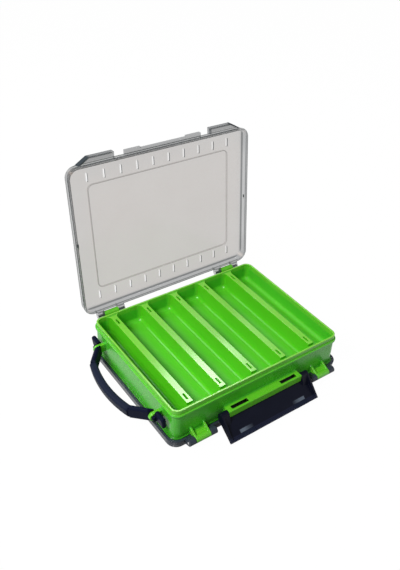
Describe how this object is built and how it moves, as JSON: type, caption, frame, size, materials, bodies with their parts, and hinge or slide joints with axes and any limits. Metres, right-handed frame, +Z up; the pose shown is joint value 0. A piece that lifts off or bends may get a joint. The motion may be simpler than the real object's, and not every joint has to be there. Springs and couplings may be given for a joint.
{
  "type": "lure box",
  "caption": "Double-sided lure box: moulded tray with ribbed compartments on both faces, a hinged translucent lid over each, swinging latches and a bow handle on one end.",
  "frame": {"origin": "on the table under the centre of the tray, in the outer face of the closed bottom lid", "axes": "+X to the right along the hinges, away from the handle; +Y from the front latch to the back; +Z up"},
  "size_m": [0.2241, 0.2069, 0.1995],
  "materials": {
    "tray_plastic": "glossy",
    "lid_plastic": "translucent smoke grey",
    "pin_steel": "drawn",
    "latch_plastic": "satin",
    "handle_plastic": "satin"
  },
  "bodies": {
    "tray_body": {"tray": "tray_plastic", "top_dividers": "tray_plastic", "bottom_dividers": "tray_plastic", "top_left_hinge_pin": "pin_steel", "top_right_hinge_pin": "pin_steel", "bottom_left_hinge_pin": "pin_steel", "bottom_right_hinge_pin": "pin_steel"},
    "top_lid_body": {"top_lid": "lid_plastic"},
    "bottom_lid_body": {"bottom_lid": "lid_plastic"},
    "front_latch_body": {"front_latch": "latch_plastic"},
    "back_latch_body": {"back_latch": "latch_plastic"},
    "handle_body": {"handle": "handle_plastic"}
  },
  "joints": [
    {"name": "top_lid_hinge", "type": "hinge", "parent": "tray_body", "child": "top_lid_body", "pos_m": [0, 0.0812, 0.0363], "axis": [1, 0, 0], "range_deg": [0, 96.3]},
    {"name": "bottom_lid_hinge", "type": "hinge", "parent": "tray_body", "child": "bottom_lid_body", "pos_m": [0, -0.0812, 0.0087], "axis": [1, 0, 0], "range_deg": [-90, 0]},
    {"name": "front_latch_pivot", "type": "hinge", "parent": "tray_body", "child": "front_latch_body", "pos_m": [0, -0.079, 0.019], "axis": [1, 0, 0], "range_deg": [-124.6, 0]},
    {"name": "back_latch_pivot", "type": "hinge", "parent": "tray_body", "child": "back_latch_body", "pos_m": [0, 0.079, 0.026], "axis": [1, 0, 0], "range_deg": [-20, 72]},
    {"name": "handle_pivot", "type": "hinge", "parent": "tray_body", "child": "handle_body", "pos_m": [-0.103, 0, 0.025], "axis": [0, 1, 0], "range_deg": [-62, 75]}
  ]
}
